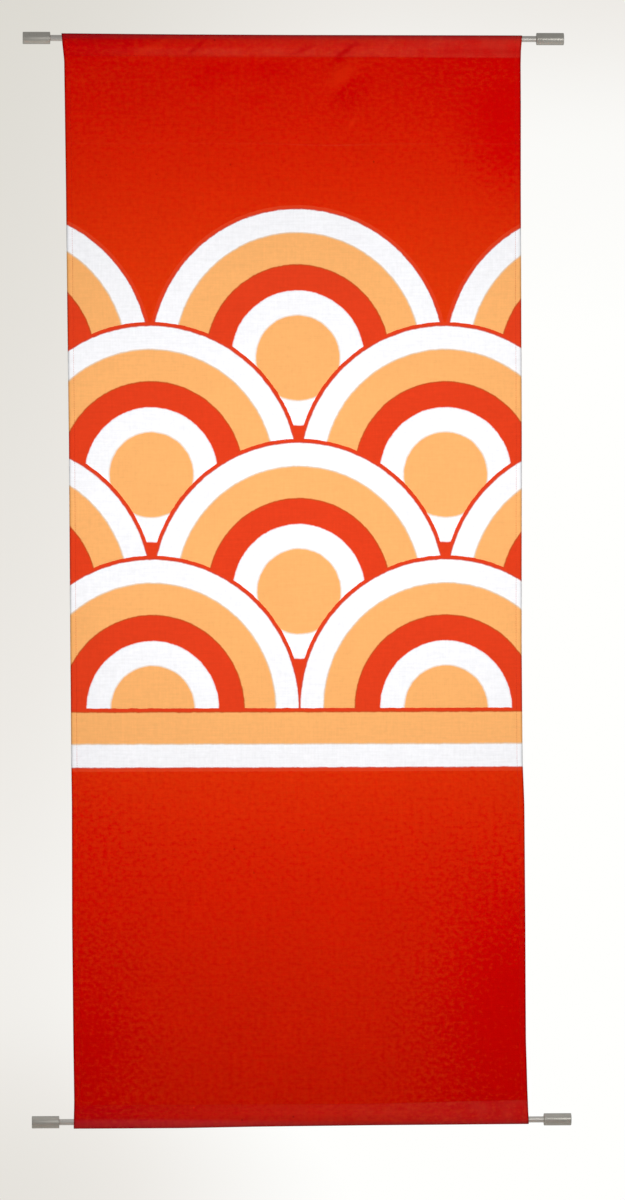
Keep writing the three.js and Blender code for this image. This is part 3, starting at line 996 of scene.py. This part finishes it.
def stitch_shape():
    """One stitch as rings of points: its place along the seam, aside from it and above the cloth."""
    rings = []
    end = (STITCH_END_RISE, STITCH_END_RADIUS)
    middle = (STITCH_RISE, THREAD_RADIUS)
    for along, (rise, radius) in ((-0.5, end), (-0.25, middle), (0.25, middle), (0.5, end)):
        for angle in np.arange(STITCH_SIDES) * 2 * math.pi / STITCH_SIDES:
            rings.append((along * STITCH_LENGTH, radius * math.cos(angle), rise + radius * math.sin(angle)))
    last_ring = len(rings) - STITCH_SIDES
    faces = []
    for ring in range(0, last_ring, STITCH_SIDES):
        for corner in range(STITCH_SIDES):
            a = ring + corner
            b = ring + (corner + 1) % STITCH_SIDES
            faces.append((a, a + STITCH_SIDES, b + STITCH_SIDES, b))
    ends = [tuple(range(STITCH_SIDES)), tuple(reversed(range(last_ring, len(rings))))]
    return np.array(rings), faces + ends


def make_stitches(name, lines, material):
    """A row of stitches along each line, a line being points on the cloth and the directions out of it."""
    shape, shape_faces = stitch_shape()
    points = []
    faces = []
    for line, normals in lines:
        lengths = np.linalg.norm(np.diff(line, axis=0), axis=1)
        run = np.concatenate([[0], np.cumsum(lengths)])
        middles = np.arange(STITCH_PITCH, run[-1] - STITCH_PITCH, STITCH_PITCH)
        for middle in middles:
            centre = np.array([np.interp(middle, run, line[:, axis]) for axis in range(3)])
            ahead = np.array([np.interp(middle + 1, run, line[:, axis]) for axis in range(3)])
            out = np.array([np.interp(middle, run, normals[:, axis]) for axis in range(3)])
            along = (ahead - centre) / np.linalg.norm(ahead - centre)
            aside = np.cross(out, along)
            start = len(points) * len(shape)
            points.append(centre + shape @ np.stack([along, aside, out]))
            faces += [[start + corner for corner in face] for face in shape_faces]
    return make_mesh(name, np.concatenate(points), faces, [material])


def sew(grid, material):
    """The stitches of both pocket seams and both side hems, seen on the front and on the back."""
    points = grid["points"]
    normals = grid_normals(points)
    surface = points + normals * PLY / 2
    last = len(points) - 1
    columns = grid["front_columns"]
    seams = []
    for row in (grid["front_seam"], grid["back_seam"], last - grid["back_seam"], last - grid["front_seam"]):
        seams.append((surface[row, columns], normals[row, columns]))
    hems = []
    for column in (grid["hem_column"], -1 - grid["hem_column"]):
        rows = slice(grid["back_seam"], last - grid["back_seam"] + 1)
        hems.append((surface[rows, column], normals[rows, column]))
    for column in (grid["flap_column"], -1 - grid["flap_column"]):
        rows = slice(grid["front_seam"] + 1, last - grid["front_seam"])
        hems.append((surface[rows, column], normals[rows, column]))
    return [make_stitches("seam_stitches", seams, material), make_stitches("hem_stitches", hems, material)]


# The rods and caps

def turned(name, profile, place, towards, material):
    """A turned piece along X. profile is (radius, distance along) from one end to the other."""
    radius, along = np.array(profile, float).T
    angles = np.arange(TURNED_SIDES) * 2 * math.pi / TURNED_SIDES
    points = [(place[0] + towards * along[0], place[1], place[2])]
    marks = [(along[0], radius[0], 0)]
    for ring in range(1, len(profile) - 1):
        for angle in angles:
            y = place[1] + radius[ring] * math.cos(angle)
            z = place[2] + radius[ring] * math.sin(angle)
            points.append((place[0] + towards * along[ring], y, z))
            marks.append((along[ring], radius[ring], 0))
    points.append((place[0] + towards * along[-1], place[1], place[2]))
    marks.append((along[-1], radius[-1], 0))
    faces = []
    for side in range(TURNED_SIDES):
        following = (side + 1) % TURNED_SIDES
        faces.append((0, 1 + following, 1 + side))
        for ring in range(len(profile) - 3):
            a = 1 + ring * TURNED_SIDES
            b = a + TURNED_SIDES
            faces.append((a + side, a + following, b + following, b + side))
        a = 1 + (len(profile) - 3) * TURNED_SIDES
        faces.append((a + side, a + following, len(points) - 1))
    if towards < 0:
        faces = [face[::-1] for face in faces]
    piece = make_mesh(name, points, faces, [material])
    piece.data.set_sharp_from_angle(angle=math.radians(SHARP_FROM))
    set_attribute(piece, "marks", "FLOAT_VECTOR", marks)
    return piece


def rounded_corner(radius, along, size, turn_from, turn_to):
    """Points of a small round edge about the centre (radius, along), between two angles in degrees."""
    angles = np.radians(np.linspace(turn_from, turn_to, CORNER_STEPS))
    return [(radius + size * math.cos(a), along + size * math.sin(a)) for a in angles]


def make_rod(node, material):
    middle, half = node_place(node)
    profile = [(0, -half[0]), (half[2] - 2 * ROD_EDGE, -half[0])]
    profile += rounded_corner(half[2] - ROD_EDGE, -half[0] + ROD_EDGE, ROD_EDGE, -90, 0)
    profile += rounded_corner(half[2] - ROD_EDGE, half[0] - ROD_EDGE, ROD_EDGE, 0, 90)
    profile += [(half[2] - 2 * ROD_EDGE, half[0]), (0, half[0])]
    return turned(node + "_bar", profile, middle, 1, material)


def make_cap(node, material):
    """A cap, from the bottom of its bore out to its mouth, round the outside and across its closed end."""
    middle, half = node_place(node)
    towards = 1 if middle[0] > 0 else -1
    mouth = -half[0]
    bore = ROD_RADIUS + CAP_BORE_GAP
    profile = [(0, mouth + CAP_BORE_DEPTH), (bore, mouth + CAP_BORE_DEPTH), (bore, mouth + CAP_MOUTH_EDGE)]
    profile += [(bore + CAP_MOUTH_EDGE, mouth)]
    profile += rounded_corner(half[2] - CAP_EDGE, mouth + CAP_EDGE, CAP_EDGE, -90, 0)
    profile += rounded_corner(half[2] - CAP_EDGE, half[0] - CAP_EDGE, CAP_EDGE, 0, 90)
    profile += [(half[2] - 2 * CAP_EDGE, half[0]), (0, half[0])]
    return turned(node + "_turned", profile, middle, towards, material)


def dress(piece, slot, *nodes):
    """Sets what the piece rides on and hides the nodes that it stands for. slot, its finish, is not used.
    """
    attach(piece, "root")
    if nodes:
        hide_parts(*nodes)
    return piece


# The camera, lights and floor

def make_camera():
    azimuth = math.radians(CAMERA_AZIMUTH)
    elevation = math.radians(CAMERA_ELEVATION)
    roll = math.radians(CAMERA_ROLL)
    level = math.cos(elevation)
    back = np.array([math.sin(azimuth) * level, -math.cos(azimuth) * level, math.sin(elevation)])
    right = np.cross(-back, (0, 0, 1))
    right /= np.linalg.norm(right)
    up = np.cross(right, -back)
    rolled_right = math.cos(roll) * right + math.sin(roll) * up
    rolled_up = math.cos(roll) * up - math.sin(roll) * right
    matrix = np.eye(4)
    matrix[:3, :3] = np.stack([rolled_right, rolled_up, back], axis=1)
    matrix[:3, 3] = (np.array(CAMERA_AIM) + back * CAMERA_DISTANCE) * MM
    data = bpy.data.cameras.new("camera")
    data.sensor_width = SENSOR
    data.lens = FOCAL_PX * SENSOR / PHOTO_HEIGHT_PX
    data.clip_end = CAMERA_SEES_TO * MM
    camera = bpy.data.objects.new("camera", data)
    camera.matrix_world = Matrix(matrix.tolist())
    bpy.context.scene.collection.objects.link(camera)
    bpy.context.scene.camera = camera


def make_light(row):
    """A soft rectangular light, from its row of the table."""
    data = bpy.data.lights.new(row["name"], "AREA")
    data.shape = "RECTANGLE"
    data.size = row["size"][0] * MM
    data.size_y = row["size"][1] * MM
    data.energy = row["power"]
    data.spread = math.radians(row["spread"])
    light = bpy.data.objects.new(row["name"], data)
    light.location = [value * MM for value in row["place"]]
    light.rotation_mode = "QUATERNION"
    light.rotation_quaternion = Vector(row["facing"]).to_track_quat("-Z", "Y")
    light.visible_camera = False
    light.visible_glossy = row["in_steel"]
    light.visible_diffuse = not row["in_steel"]
    bpy.context.scene.collection.objects.link(light)


def make_world():
    """A pale backdrop for the camera, and for everything else a studio that is bright behind the banner and
    dim in front of it, where the lights stand."""
    world = bpy.data.worlds.new("studio")
    bpy.context.scene.world = world
    shader = Shader(world)
    x, y, z = shader.split(shader.place("Generated"))
    ends = shader.minus(shader.between(z, *TOP_DIMS, "LINEAR"), shader.between(z, *BOTTOM_DIMS))
    right = shader.times(shader.between(x, *RIGHT_BRIGHTENS), shader.between(z, *TOP_RIGHT_DIMS))
    backdrop = shader.ramp(shader.plus(ends, right), BACKDROP)
    studio = shader.times(shader.between(y, *STUDIO_BEHIND), shader.between(z, *STUDIO_ABOVE))
    ray = shader.add("ShaderNodeLightPath").outputs
    studio = shader.choose(ray["Is Glossy Ray"], studio, STUDIO_IN_STEEL)
    colour = shader.blend(ray["Is Camera Ray"], shader.grey(studio), backdrop)
    background = shader.add("ShaderNodeBackground", {"Color": colour})
    shader.add("ShaderNodeOutputWorld", {"Surface": background.outputs[0]})


def make_floor():
    """A round pale floor under the banner that fades out towards its rim."""
    angles = np.arange(TURNED_SIDES) * 2 * math.pi / TURNED_SIDES
    points = [(FLOOR_RADIUS * math.cos(a), FLOOR_RADIUS * math.sin(a), FLOOR_HEIGHT) for a in angles]
    material = bpy.data.materials.new("floor")
    shader = Shader(material)
    place = shader.place()
    x, y, _ = shader.split(place)
    fades = (share * FLOOR_RADIUS * MM for share in FLOOR_FADES)
    fade = shader.between(shader.math("SQRT", shader.squares(x, y)), *fades)
    colour = shader.blend(shader.noise(place, FLOOR_PATCH_SCALE, 3.0), *FLOOR_COLOURS)
    ray = shader.add("ShaderNodeLightPath").outputs
    seen = shader.times(ray["Is Camera Ray"], FLOOR_LIT)
    mirrored = shader.times(ray["Is Glossy Ray"], FLOOR_IN_STEEL)
    solid = shader.add("ShaderNodeBsdfPrincipled", {
        "Base Color": colour,
        "Roughness": 0.8,
        "Emission Color": colour,
        "Emission Strength": shader.plus(seen, mirrored),
    }).outputs[0]
    clear = shader.add("ShaderNodeBsdfTransparent").outputs[0]
    shader.output(shader.add("ShaderNodeMixShader", {0: fade, 1: solid, 2: clear}).outputs[0])
    make_mesh("floor", points, [tuple(range(len(points)))], [material])


def new_material(name, paint, *options):
    material = bpy.data.materials.new(name)
    paint(Shader(material), *options)
    return material


make_camera()
print_side = new_material("cloth_printed_side", paint_cloth, 1.0)
reverse_side = new_material("cloth_reverse_side", paint_cloth, STRIKE_THROUGH)
thread = new_material("sewing_thread", paint_thread)
drawn_steel = new_material("drawn_steel", paint_steel, drawn_marks, ROD_SMUDGES, ROD_STEEL)
turned_steel = new_material("turned_steel", paint_steel, turned_marks, CAP_SMUDGES, CAP_STEEL)

grid = cloth_grid()
cloth = dress(make_cloth(grid, print_side, reverse_side), "cloth", "banner_cloth")
stitches = [dress(piece, "cloth") for piece in sew(grid, thread)]
for end in ("top", "bottom"):
    dress(make_rod(end + "_rod", drawn_steel), "steel", end + "_rod")
    for side in ("left", "right"):
        node = end + "_cap_" + side
        dress(make_cap(node, turned_steel), "steel", node)

make_floor()
make_world()
for light_row in LIGHTS:
    make_light(light_row)

view = bpy.context.scene.view_settings
view.view_transform = "Standard"
view.look = "None"
